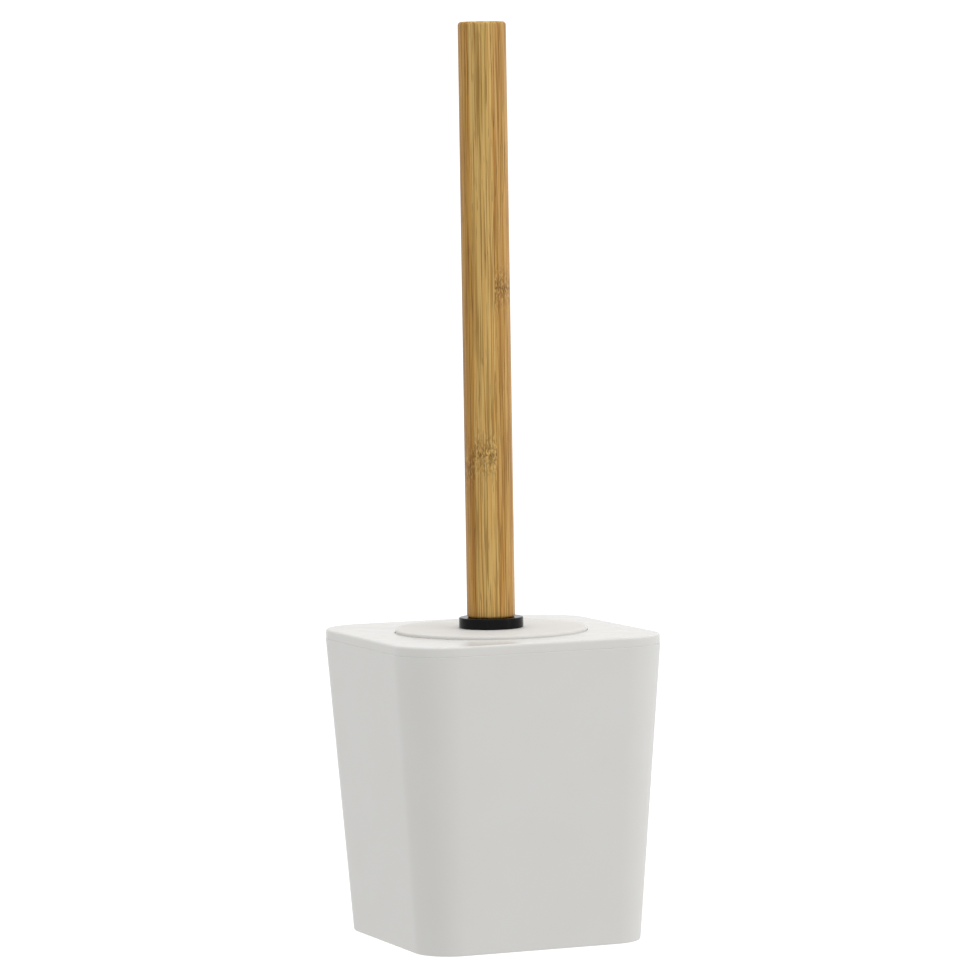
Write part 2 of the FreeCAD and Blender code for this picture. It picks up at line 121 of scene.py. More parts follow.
def new_piece(name, points, quads, triangles, body, nodes=()):
    """A smooth-shaded object from points in millimetres, riding on a body of the frame."""
    halves = [quads[:, [0, 1, 2]], quads[:, [0, 2, 3]], triangles]
    volume = signed_volume(points, np.concatenate(halves))
    if volume < 0:
        quads, triangles = quads[:, ::-1], triangles[:, ::-1]
    used, renumbered = np.unique(np.concatenate([quads.ravel(), triangles.ravel()]), return_inverse=True)
    quads = renumbered[: quads.size].reshape(-1, 4)
    triangles = renumbered[quads.size :].reshape(-1, 3)
    mesh = bpy.data.meshes.new(name)
    mesh.from_pydata((points[used] * MM).tolist(), [], quads.tolist() + triangles.tolist())
    mesh.polygons.foreach_set("use_smooth", np.ones(len(mesh.polygons), bool))
    mesh.update()
    piece = bpy.data.objects.new(name, mesh)
    bpy.context.scene.collection.objects.link(piece)
    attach(piece, body)
    if nodes:
        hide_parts(*nodes)
    print(f"{name}: {len(mesh.polygons)} faces, {abs(volume) / 1000:.2f} cm3")
    return piece


def piece_from_grid(name, grid, body, nodes=(), closed=False):
    """A piece from a grid of points of shape (rows, columns, 3)."""
    poles = np.ptp(grid, axis=1).max(axis=1) < 1e-7
    quads, triangles = grid_faces(*grid.shape[:2], poles, closed)
    return new_piece(name, grid.reshape(-1, 3), quads, triangles, body, nodes)


# %% [markdown]
# ## Profiles with soft edges
#
# Moulded plastic has no sharp edge anywhere: the tool can't cut one and the part wouldn't
# leave it. A profile is therefore drawn with sharp corners, each with its own radius, and
# one function rounds them all. It also leaves a point just before and after each arc, which
# keeps the shading of the flat beside it flat.

# %% Round a profile's corners
ARC_STEPS = 9
GUARD = 0.6


def rounded(corners, closed):
    """A polyline through arcs. Each corner is (x, y, radius).

    The arc starts where the corner's two sides are a tangent length away, which is the
    radius over the tangent of half the corner's angle. Its points turn evenly from one end
    to the other about the arc's centre, which lies on the line that halves the corner.
    """
    corners = np.array(corners, float)
    points, radius = corners[:, :2], corners[:, 2:]
    before = np.roll(points, 1, axis=0) - points
    after = np.roll(points, -1, axis=0) - points
    before /= np.linalg.norm(before, axis=1, keepdims=True)
    after /= np.linalg.norm(after, axis=1, keepdims=True)
    half = np.arccos(np.clip((before * after).sum(axis=1, keepdims=True), -1, 1)) / 2
    tangent = radius / np.tan(half)
    middle = before + after
    middle /= np.linalg.norm(middle, axis=1, keepdims=True)
    centre = points + middle * radius / np.sin(half)
    start, end = points + before * tangent - centre, points + after * tangent - centre
    turn = np.pi - 2 * half
    step = np.linspace(0, 1, ARC_STEPS)
    arc = start[:, None] * np.sin((1 - step)[None, :, None] * turn[:, None])
    arc += end[:, None] * np.sin(step[None, :, None] * turn[:, None])
    arc = centre[:, None] + arc / np.sin(turn)[:, None]
    guard_before = points + before * tangent * (1 + GUARD)
    guard_after = points + after * tangent * (1 + GUARD)
    line = np.concatenate([guard_before[:, None], arc, guard_after[:, None]], axis=1)
    if closed:
        return line.reshape(-1, 2)
    inner = line[1:-1].reshape(-1, 2)
    return np.concatenate([points[:1], inner, points[-1:]])


def divided(profile, longest, closed=False):
    """The same polyline with extra points, so that no piece of it is longer than a limit."""
    ends = np.roll(profile, -1, axis=0) if closed else profile[1:]
    starts = profile if closed else profile[:-1]
    counts = np.maximum(1, np.ceil(np.linalg.norm(ends - starts, axis=1) / longest)).astype(int)
    which = np.repeat(np.arange(len(counts)), counts)
    share = (np.arange(counts.sum()) - np.repeat(np.cumsum(counts) - counts, counts)) / counts[which]
    line = starts[which] + (ends - starts)[which] * share[:, None]
    return line if closed else np.concatenate([line, profile[-1:]])


# %% [markdown]
# ## Round the axis, from square to circle
#
# The pot's outline is a square with round corners, the lid's is a circle, and the cover's
# top goes from one to the other. One formula serves all three. Look from the axis in some
# direction: the ray meets either a flat side or a corner's arc, and whichever applies gives
# the distance. When the corner's radius grows to the half width, the square is a circle.

# %% Sweep a profile round a square or a circle
COLUMNS = 480


def reach(half, corner, angle):
    """Distance from the axis to a rounded square's outline, in the direction of an angle.

    Fold the angle into the first eighth of a turn. On the flat side the distance is the half
    width over the cosine. On the arc it is where the ray leaves the corner's circle: the
    ray's nearest point to the circle's centre, plus half of the chord that it cuts.
    """
    folded = np.abs((angle + np.pi / 4) % (np.pi / 2) - np.pi / 4)
    offset = half - corner
    along = offset * (np.cos(folded) + np.sin(folded))
    arc = along + np.sqrt(np.maximum(along**2 - 2 * offset**2 + corner**2, 0))
    side = half / np.cos(folded)
    return np.where(half * np.tan(folded) <= offset, side, arc)


def swept(half, corner, height, columns=COLUMNS):
    """A grid of points: one rounded square for each row of half width, corner and height."""
    angle = 2 * np.pi * np.arange(columns)[None, :] / columns
    distance = reach(half[:, None], corner[:, None], angle)
    upright = np.broadcast_to(height[:, None], distance.shape)
    return np.stack([distance * np.cos(angle), distance * np.sin(angle), upright], axis=-1)


def turned(profile, columns=COLUMNS):
    """A surface of revolution: every row of the profile (radius, height) is a circle."""
    return swept(profile[:, 0], profile[:, 0], profile[:, 1], columns)


# %% [markdown]
# ## The pot
#
# The tub is one injection moulding. Its walls lean out by about four degrees so that it
# leaves the tool, its floor meets the walls in a wide curve that is easy to wipe, and
# under it a shallow recess leaves a ring to stand on. The recess has the small round mark
# where the plastic was injected. The profile runs from the middle of the underside, out and
# up the outside, over the lip, and down the inside to the middle of the floor.
#
# Seen from above, the middle of each outline shrinks as a scaled copy, while the walls keep
# their thickness: their corner centres stay put and only the radius changes.

# %% Shape the pot
def wall_half(height):
    """Half the pot's outside width at a height."""
    return BASE_HALF + (TOP_HALF - BASE_HALF) * height / POT_HEIGHT


def wall_corner_centre(height):
    """How far the corner arcs' centres stand from the middle, along X and along Y."""
    corner = BASE_CORNER + (TOP_CORNER - BASE_CORNER) * height / POT_HEIGHT
    return wall_half(height) - corner


pot_profile = rounded(
    [
        (0, 1.0, 0),
        (1.5, 1.0, 0.1),
        (1.9, 0.6, 0.1),
        (3.2, 0.6, 0.1),
        (3.2, 1.0, 0.1),
        (BASE_HALF - 5.0, 1.0, 0.4),
        (BASE_HALF - 5.2, 0.0, 0.3),
        (BASE_HALF, 0.0, 0.8),
        (TOP_HALF, POT_HEIGHT, 0.3),
        (TOP_HALF - WALL, POT_HEIGHT, 0.3),
        (wall_half(FLOOR) - WALL, FLOOR, 5.0),
        (0, FLOOR, 0),
    ],
    closed=False,
)
pot_profile = divided(pot_profile, 5.0)
pot_half, pot_level = pot_profile.T
centre_share = wall_corner_centre(0) / (BASE_HALF - 6.5)
pot_corner = pot_half - np.minimum(wall_corner_centre(pot_level), pot_half * centre_share)
pot = piece_from_grid("pot", swept(pot_half, pot_corner, pot_level), "pot", ["pot_body"])

# %% [markdown]
# ## The cover
#
# The cover is a plate with a vertical rim that continues the pot's outline. It stands in from
# the pot by about a sixth of a millimetre, so the joint shows as a fine line and a small error
# in either moulding can't be seen. A skirt under it finds the pot's mouth, and a ring round
# the opening guides the brush in. Its profile is a closed loop, so the grid closes both ways,
# like a doughnut. On the way from the square rim to the round seat, the corner centres slide
# in towards the axis.

# %% Shape the cover
SKIRT_DEPTH, SKIRT_WALL, SKIRT_GAP = 8.0, 1.6, 0.3
PLATE, GUIDE_DEPTH = 2.6, 5.0
SKIRT_OUT = wall_half(POT_HEIGHT - SKIRT_DEPTH) - WALL - SKIRT_GAP
SKIRT_IN = SKIRT_OUT - SKIRT_WALL
OPENING, GUIDE_OUT = 37.0, 38.6
UNDERSIDE = COVER_TOP - PLATE
GUIDE_FOOT = UNDERSIDE - GUIDE_DEPTH
SEAT_EDGE = LID_RADIUS + 0.3

cover_profile = rounded(
    [
        (OPENING, SEAT, 0.45),
        (SEAT_EDGE, SEAT, 0.15),
        (SEAT_EDGE, COVER_TOP, 0.25),
        (COVER_HALF, COVER_TOP, 1.0),
        (COVER_HALF, POT_HEIGHT, 0.05),
        (SKIRT_OUT, POT_HEIGHT, 0.3),
        (SKIRT_OUT, cover_low[2], 0.4),
        (SKIRT_IN, cover_low[2], 0.4),
        (SKIRT_IN, UNDERSIDE, 0.5),
        (GUIDE_OUT, UNDERSIDE, 0.5),
        (GUIDE_OUT, GUIDE_FOOT, 0.4),
        (OPENING, GUIDE_FOOT, 0.4),
    ],
    closed=True,
)
cover_profile = divided(cover_profile, 3.0, closed=True)
cover_half, cover_level = cover_profile.T
squareness = np.clip((cover_half - SEAT_EDGE - 0.6) / (SKIRT_IN - SEAT_EDGE - 1.2), 0, 1)
cover_corner = cover_half - wall_corner_centre(POT_HEIGHT) * squareness
cover_grid = swept(cover_half, cover_corner, cover_level)
cover = piece_from_grid("cover", cover_grid, "cover", ["top_cover"], closed=True)

# %% [markdown]
# ## The splash lid and the collar
#
# Both are turned shapes, so they are profiles swept round a circle. The lid is a disc that
# stands a little proud of the cover, with a ring beneath that finds the opening and a hub
# that takes the stem. The collar is a thick black washer that the handle stands on.

# %% Shape the lid and the collar
BOSS_HOLE, HUB_RADIUS, HUB_FOOT = 6.58, 11.0, SEAT - 4.0
RING_GAP, RING_WALL, RING_FOOT = 0.7, 1.4, SEAT - 3.0
RING_OUT = OPENING - RING_GAP
RING_IN = RING_OUT - RING_WALL
lid_profile = rounded(
    [
        (BOSS_HOLE, LID_TOP, 0.2),
        (LID_RADIUS, LID_TOP, 0.9),
        (LID_RADIUS, SEAT, 0.25),
        (RING_OUT, SEAT, 0.2),
        (RING_OUT, RING_FOOT, 0.3),
        (RING_IN, RING_FOOT, 0.3),
        (RING_IN, SEAT, 0.4),
        (HUB_RADIUS, SEAT, 0.4),
        (HUB_RADIUS, HUB_FOOT, 0.3),
        (BOSS_HOLE, HUB_FOOT, 0.2),
    ],
    closed=True,
)
lid_grid = turned(divided(lid_profile, 3.0, closed=True))
lid = piece_from_grid("lid", lid_grid, "lid", ["splash_lid"], closed=True)

collar_profile = rounded(
    [
        (STUD_RADIUS, COLLAR_FOOT, 0.1),
        (COLLAR_RADIUS, COLLAR_FOOT, 0.25),
        (COLLAR_RADIUS, COLLAR_TOP, 0.55),
        (STUD_RADIUS, COLLAR_TOP, 0.1),
    ],
    closed=True,
)
collar_grid = turned(divided(collar_profile, 1.5, closed=True), 240)
collar = piece_from_grid("collar_ring", collar_grid, "brush", ["collar"], closed=True)

# %% [markdown]
# ## The handle's three strips
#
# Bamboo is a tube with thin walls, so a solid rod has to be glued from split strips and then
# turned round. The glue planes stay flat while the outside is a cylinder. Each strip is
# therefore the rod kept between two planes, and its outline goes from corner to corner: an
# arc of the rod, then a straight flat along a glue plane, and so on round.
#
# Turning leaves the surface a little uneven along the grain, because the dark fibre
# bundles are harder than the pale wood between them. That relief is a few hundredths of a
# millimetre, cut inwards so that the rod never grows.

# %% Shape the strips
GRAIN_TURN = math.radians(-22.6)
GLUE_LEFT, GLUE_RIGHT = -5.7, 3.6
TOP_ROUND, FOOT_ROUND = 1.5, 1.0
RIM_STEPS = 9
CROWDED = np.concatenate([[0, 0.002, 0.006], np.linspace(0.015, 0.985, 96), [0.994, 0.998]])
BEYOND = HANDLE_RADIUS + 1
rng = np.random.default_rng(7)
ripple_count = np.arange(24, 150, 3)
ripple_phase = rng.uniform(0, 2 * np.pi, len(ripple_count))
ripple_drift = rng.uniform(-1, 1, len(ripple_count)) * 0.012


def grain_relief(angle, height):
    """Depth of the grain below the turned surface: a sum of ripples that drift along the rod."""
    phase = ripple_phase + ripple_drift * height[..., None]
    wave = np.sin(ripple_count * angle[..., None] + phase).sum(axis=-1)
    return 0.012 * (1 + np.tanh(wave / 4))


def strip_outline(low, high, radius, height):
    """Across and depth of a strip's outline, row by row: arcs of the rod joined by flats.

    The corners are where the rod meets the glue planes. Between two of them the outline
    follows the rod if the rod lies between the planes there, and otherwise it runs straight
    along the plane. The columns crowd near each corner, so that the smooth shading turns
    there and not across the face beside it.
    """
    corner = [np.arccos(plane / radius) for plane in (high, low) if abs(plane) < HANDLE_RADIUS]
    corner = np.stack(corner + [2 * np.pi - angle for angle in corner[::-1]], axis=-1)
    following = np.concatenate([corner[:, 1:], corner[:, :1] + 2 * np.pi], axis=1)
    angle = corner[..., None] + (following - corner)[..., None] * CROWDED
    distance = radius[:, None, None] - grain_relief(angle, height[:, None, None])
    across, depth = distance * np.cos(angle), distance * np.sin(angle)
    middle = radius[:, None] * np.cos((corner + following) / 2)
    flat = ((middle > high) | (middle < low))[..., None]
    plane = np.where(middle > high, high, low)[..., None]
    start = depth[..., :1]
    straight = start + (np.roll(start, -1, axis=1) - start) * CROWDED
    across = np.where(flat, plane, np.clip(across, low, high))
    depth = np.where(flat, straight, depth)
    return across.reshape(len(radius), -1), depth.reshape(len(radius), -1)


def strip_grid(low, high):
    """A strip from its foot to its top, with rounded rims, closed flat at both ends."""
    rim = np.linspace(0, np.pi / 2, RIM_STEPS)
    length = np.linspace(HANDLE_FOOT + FOOT_ROUND, HANDLE_TOP - TOP_ROUND, 190)[1:-1]
    height = np.concatenate([HANDLE_FOOT + FOOT_ROUND * (1 - np.sin(rim[::-1])), length,
                             HANDLE_TOP - TOP_ROUND * (1 - np.sin(rim))])
    radius = np.full(len(height), HANDLE_RADIUS)
    radius[:RIM_STEPS] -= FOOT_ROUND * (1 - np.cos(rim[::-1]))
    radius[-RIM_STEPS:] -= TOP_ROUND * (1 - np.cos(rim))
    across, depth = strip_outline(low, high, radius, height)
    side = np.stack([across, depth, np.broadcast_to(height[:, None], across.shape)], axis=-1)
    middle = np.array([(max(low, -HANDLE_RADIUS) + min(high, HANDLE_RADIUS)) / 2, 0])
    share = np.array([1.0, 0.97, 0.9, 0.75, 0.5, 0.25, 0.0])[1:, None, None]
    top = side[-1] * share + np.append(middle, HANDLE_TOP) * (1 - share)
    foot = (side[0] * share + np.append(middle, HANDLE_FOOT) * (1 - share))[::-1]
    grid = np.concatenate([foot, side, top])
    cosine, sine = math.cos(GRAIN_TURN), math.sin(GRAIN_TURN)
    x, y, z = grid[..., 0], grid[..., 1], grid[..., 2]
    return np.stack([x * cosine - y * sine, x * sine + y * cosine, z], axis=-1)


STRIPS = {
    "left": (-BEYOND, GLUE_LEFT, "bamboo_dark"),
    "middle": (GLUE_LEFT, GLUE_RIGHT, "bamboo_pale"),
    "right": (GLUE_RIGHT, BEYOND, "bamboo_warm"),
}
strips = {}
for side, (low, high, slot) in STRIPS.items():
    node = "handle_strip_" + side
    strips[side] = piece_from_grid("bamboo_" + side, strip_grid(low, high), "brush", [node])

# %% [markdown]
# ## The bristles
#
# A tuft is a bundle of nylon filaments folded over a wire anchor and punched into a hole.
# Where it leaves the hole it is a tight round bundle, and it fans out to its trimmed end.
# Modelling a bundle as a cone would look like a peg, so each filament is its own thin
# square rod, bent along the fan. Thousands of them only work if each has few faces, and if
# numpy makes a whole row of tufts at once.
#
# The filaments of a tuft are laid out like sunflower seeds: each one turns by the golden
# angle from the last and stands as far out as the square root of its number.

# %% Make the filaments
FILAMENTS = 60
FILAMENT_RADIUS = 0.19
CORE_RADIUS, BRISTLE_REACH, ROOT = 12.5, 35.0, 8.9
STATIONS = np.array([0.0, 0.14, 0.34, 0.56, 0.78, 1.0])
GOLDEN = np.pi * (3 - math.sqrt(5))
TIP_CENTRE, ROW_PITCH, STRAIGHT_ROWS = 45.0, 8.0, 7

rows = [
    (TIP_CENTRE + (STRAIGHT_ROWS - 1 - k) * ROW_PITCH, 0.0, 12, k % 2 * 15.0)
    for k in range(STRAIGHT_ROWS)
]
rows += [(TIP_CENTRE, 28.0, 12, 15.0), (TIP_CENTRE, 56.0, 7, 0.0), (TIP_CENTRE, 90.0, 1, 0.0)]


def tuft_frames(tilt, count, first):
    """Three directions for each tuft: along it, sideways, and the one square to both."""
    turn = np.radians(first + 360 * np.arange(count) / count)
    down = math.radians(tilt)
    flat = np.stack([np.cos(turn), np.sin(turn), np.zeros(count)], axis=-1)
    along = flat * math.cos(down) + np.array([0, 0, -math.sin(down)])
    sideways = np.stack([-np.sin(turn), np.cos(turn), np.zeros(count)], axis=-1)
    return along, sideways, np.cross(along, sideways)


def filament_lines(centre, tilt, count, first):
    """Centre lines of all filaments in a row of tufts, of shape (tufts, filaments, stations, 3).

    Along the tuft each goes from the root to the trimmed end. Away from the tuft's middle it
    keeps the bundle's radius inside the core, and then opens with the distance squared. A
    small random lean and a slow wave keep neighbours from lying exactly side by side.
    """
    along, sideways, square = tuft_frames(tilt, count, first)
    seed = np.arange(FILAMENTS) + 0.5
    ring = np.sqrt(seed / FILAMENTS)
    shape = (count, FILAMENTS, 1)
    heading = np.broadcast_to(seed * GOLDEN, (count, FILAMENTS))[..., None]
    heading = heading + rng.uniform(0, 2 * np.pi, (count, 1, 1))
    heading = heading + rng.normal(0, 0.12, shape)
    end = BRISTLE_REACH - rng.uniform(0.0, 0.7, shape)
    distance = ROOT + (end - ROOT) * STATIONS
    opening = np.clip((distance - CORE_RADIUS) / (BRISTLE_REACH - CORE_RADIUS), 0, 1)
    spread = 1.38 * ring[None, :, None] * (1 + 1.75 * opening**1.35 * rng.uniform(0.75, 1.25, shape))
    wave = 0.28 * opening * np.sin(STATIONS * rng.uniform(5, 9, shape) + rng.uniform(0, 2 * np.pi, shape))
    aside = spread * np.cos(heading) + wave
    away = spread * np.sin(heading) + wave * rng.uniform(-1, 1, shape)
    line = distance[..., None] * along[:, None, None]
    line = line + aside[..., None] * sideways[:, None, None] + away[..., None] * square[:, None, None]
    return line + np.array([0, 0, centre]), sideways, square


def filament_piece(name, row, node):
    """A row of tufts as one piece: a square ring of four points at every station of each line."""
    line, sideways, square = filament_lines(*row)
    tufts, filaments, stations, _ = line.shape
    corner = np.radians(45 + 90 * np.arange(4))
    taper = FILAMENT_RADIUS * np.array([1, 1, 1, 1, 0.95, 0.75])[:, None, None]
    ring = np.cos(corner)[:, None] * sideways[:, None, None] + np.sin(corner)[:, None] * square[:, None, None]
    points = line[:, :, :, None] + ring[:, :, None] * taper
    base = np.arange(tufts * filaments)[:, None, None] * stations * 4
    level, side = np.arange(stations - 1)[:, None] * 4, np.arange(4)[None, :]
    following = (side + 1) % 4
    wall = np.stack([level + side, level + following, level + 4 + following, level + 4 + side], axis=-1)
    ends = np.array([[3, 2, 1, 0], [0, 1, 2, 3]]) + np.array([[0], [(stations - 1) * 4]])
    quads = np.concatenate([wall.reshape(-1, 4), ends])
    quads = (base + quads).reshape(-1, 4)
    none = np.empty((0, 3), int)
    return new_piece(name, points.reshape(-1, 3), quads, none, "brush", [node])


bristles = []
for number, row in enumerate(rows, start=1):
    last = number == len(rows)
    node = "bristle_tip" if last else f"bristle_row_{number:02d}"
    name = "filaments_tip" if last else f"filaments_{number:02d}"
    bristles.append(filament_piece(name, row, node))

# %% [markdown]
# ## The stud and the brass insert
#
# A thread is a surface of two parameters: the angle round the stud and the height. The
# radius depends on how far round the helix a point lies, which is the height over the pitch
# less the share of a turn. The insert is a brass sleeve with diamond knurling, two families
# of grooves that lean opposite ways, so that the glue can hold it.

# %% Shape the stud and the insert
PITCH, THREAD_DEPTH = 1.25, 0.66
stud_low, stud_high = extent("stud")
insert_low, insert_high = extent("threaded_insert")


def thread_grid():
    """A round rod whose radius dips with a flat-topped wave, one dip for each pitch."""
    height = np.linspace(stud_low[2], stud_high[2], 1 + 10 * round((stud_high[2] - stud_low[2]) / PITCH))
    angle = 2 * np.pi * np.arange(48)[None, :] / 48
    place = (height[:, None] / PITCH - angle / (2 * np.pi)) % 1
    groove = np.clip(1.25 - np.abs(2 * place - 1) * 1.5, 0, 1)
    chamfer = np.minimum(height - height[0], height[-1] - height)[:, None]
    radius = STUD_RADIUS - 0.02 - THREAD_DEPTH * groove
    radius = np.minimum(radius, STUD_RADIUS - 0.8 + chamfer)
    level = np.broadcast_to(height[:, None], radius.shape)
    rod = np.stack([radius * np.cos(angle), radius * np.sin(angle), level], axis=-1)
    caps = [np.broadcast_to([0, 0, z], rod[:1].shape) for z in (height[0], height[-1])]
    return np.concatenate([caps[0], rod, caps[1]])


def knurled_grid():
    """A sleeve: the bore's two ends, and an outside with crossed grooves between plain lands."""
    foot, top, out = insert_low[2], insert_high[2], insert_high[0]
    corners = [(STUD_RADIUS, foot, 0.15), (out, foot, 0.3), (out, top, 0.3), (STUD_RADIUS, top, 0.15)]
    sleeve = turned(divided(rounded(corners, closed=True), 0.3, closed=True), 160)
    x, y, z = sleeve[..., 0], sleeve[..., 1], sleeve[..., 2]
    radius, angle = np.hypot(x, y), np.arctan2(y, x)
    crossed = np.abs(np.sin(16 * angle + 3.4 * z)) * np.abs(np.sin(16 * angle - 3.4 * z))
    land = np.clip((z - foot - 2) / 0.5, 0, 1) * np.clip((top - 2 - z) / 0.5, 0, 1)
    depth = np.where(radius > out - 0.01, 0.22 * (1 - crossed) * land, 0)
    return np.stack([(radius - depth) * np.cos(angle), (radius - depth) * np.sin(angle), z], axis=-1)


stud = piece_from_grid("stud_thread", thread_grid(), "brush", ["stud"])
insert = piece_from_grid(
    "brass_insert", knurled_grid(), "brush", ["threaded_insert"], closed=True
)

# %% [markdown]
# ## Building a finish out of nodes
#
# A finish is a small graph of nodes. Three short helpers keep the recipes readable: one adds
# a node and joins or sets its inputs, one does arithmetic, and one blends two colours.
# A number that is the same all over a surface is set straight on the shader.

# %% Helpers for finishes
def new_finish(name):
    """An empty material and its node tree."""
    material = bpy.data.materials.new(name)
    material.use_nodes = True
    material.node_tree.nodes.clear()
    return material


def add(finish, kind, inputs=(), **settings):
    """A node of a kind, with settings, and inputs given as sockets to join or values to set."""
    node = finish.node_tree.nodes.new("ShaderNode" + kind)
    for key, value in settings.items():
        setattr(node, key, value)
    for key, value in dict(inputs).items():
        if isinstance(value, bpy.types.NodeSocket):
            finish.node_tree.links.new(value, node.inputs[key])
        else:
            node.inputs[key].default_value = value
    return node


def maths(finish, operation, *values):
    """One arithmetic step on sockets or numbers."""
    return add(finish, "Math", dict(enumerate(values)), operation=operation).outputs[0]


def blend(finish, amount, first, second):
    """A colour between two colours."""
    inputs = {"Factor": amount, 6: first, 7: second}
    return add(finish, "Mix", inputs, data_type="RGBA").outputs[2]


def banded(finish, value, low, high, to_low=0.0, to_high=1.0):
    """A value moved from one range to another, and held inside it."""
    inputs = {"Value": value, "From Min": low, "From Max": high, "To Min": to_low, "To Max": to_high}
    return add(finish, "MapRange", inputs).outputs[0]


def placed(finish, scale=(1, 1, 1), rotation=(0, 0, 0), location=(0, 0, 0)):
    """Object coordinates in millimetres, turned and then stretched."""
    source = add(finish, "TexCoord").outputs["Object"]
    size = tuple(s / MM for s in scale)
    inputs = {"Vector": source, "Scale": size, "Rotation": rotation, "Location": location}
    return add(finish, "Mapping", inputs, vector_type="POINT").outputs[0]


def noise(finish, vector, scale=1.0, detail=2.0, roughness=0.5, distortion=0.0):
    """A smooth random value between nought and one."""
    inputs = {"Vector": vector, "Scale": scale, "Detail": detail, "Roughness": roughness}
    return add(finish, "TexNoise", {**inputs, "Distortion": distortion}).outputs["Fac"]


def finished(finish, surface, bump=None, strength=0.1, depth=0.0001, **shader):
    """Joins a principled shader, and a bump if there is one, to the output."""
    inputs = dict(shader)
    if bump is not None:
        bumpy = add(finish, "Bump", {"Height": bump, "Strength": strength, "Distance": depth})
        inputs["Normal"] = bumpy.outputs[0]
    inputs["Base Color"] = surface
    principled = add(finish, "BsdfPrincipled", {k.replace("_", " "): v for k, v in inputs.items()})
    add(finish, "OutputMaterial", {"Surface": principled.outputs[0]})
    return finish


def dress(finish, *pieces):
    """Puts a finish on pieces in place of what they had."""
    for piece in pieces:
        piece.data.materials.clear()
        piece.data.materials.append(finish)


# %% [markdown]
# ## White plastic
#
# Moulded polypropylene is never one flat white. Light goes a little way in, which softens
# it. Cooling leaves a very shallow waviness over centimetres, and the tool's polish leaves a
# fine unevenness that breaks up the gloss. The pot's sides and the lid
# are satin, while the cover is polished, so it mirrors what stands on it at a low angle.

# %% Mix the plastics
def plastic_finish(name, colour, warm, roughness, fine_depth, mirror=0.5):
    """Plastic with slow colour drift, slow waves, a fine surface and uneven gloss."""
    finish = new_finish(name)
    mm = placed(finish)
    drift = noise(finish, mm, 0.035, 3.0)
    speck = noise(finish, mm, 1.9, 2.0)
    tint = blend(finish, banded(finish, drift, 0.3, 0.7), (*colour, 1), (*warm, 1))
    tint = blend(finish, banded(finish, speck, 0.66, 0.78, 0.0, 0.10), tint, (*[c * 0.82 for c in warm], 1))
    wave = noise(finish, mm, 0.06, 1.0)
    grain = noise(finish, mm, 3.2, 3.0, 0.6)
    height = maths(finish, "MULTIPLY_ADD", wave, 3.0, maths(finish, "MULTIPLY", grain, fine_depth))
    gloss = banded(finish, noise(finish, mm, 0.11, 4.0, 0.6), 0.3, 0.7, roughness - 0.03, roughness + 0.04)
    return finished(
        finish, tint, bump=height, strength=0.10, depth=0.0001, Roughness=gloss, IOR=1.49,
        Specular_IOR_Level=mirror, Subsurface_Weight=0.12, Subsurface_Radius=(0.0016, 0.0014, 0.0012),
        Subsurface_Scale=1.0,
    )


PURE, CREAM = (0.80, 0.793, 0.770), (0.79, 0.780, 0.750)
dress(plastic_finish("pot_satin_white", PURE, CREAM, 0.36, 0.5), pot)
dress(plastic_finish("cover_polished_white", PURE, CREAM, 0.20, 0.12, 0.20), cover)
dress(plastic_finish("lid_satin_white", (0.790, 0.777, 0.752), (0.775, 0.760, 0.730), 0.50, 0.3, 0.06), lid)
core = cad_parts["brush_core"]
dress(plastic_finish("core_white", PURE, CREAM, 0.42, 0.5), core)

# %% [markdown]
# ## Black gloss plastic
#
# The collar is glossy black. It shows almost only reflections, so what matters is the
# clear skin over a dark body, and faint turning marks that pull the reflections sideways.

# %% Mix the collar's black
collar_black = new_finish("collar_gloss_black")
mm = placed(collar_black)
rings = noise(collar_black, placed(collar_black, (0.2, 0.2, 6.0)), 1.0, 2.0)
dust = banded(collar_black, noise(collar_black, mm, 2.6, 4.0, 0.7), 0.55, 0.8)
black = blend(collar_black, dust, (0.009, 0.009, 0.010, 1), (0.020, 0.020, 0.020, 1))
gloss = banded(collar_black, dust, 0, 1, 0.14, 0.26)
finished(collar_black, black, bump=rings, strength=0.06, depth=0.00005, Roughness=gloss, IOR=1.45,
         Specular_IOR_Level=0.09)
dress(collar_black, collar)
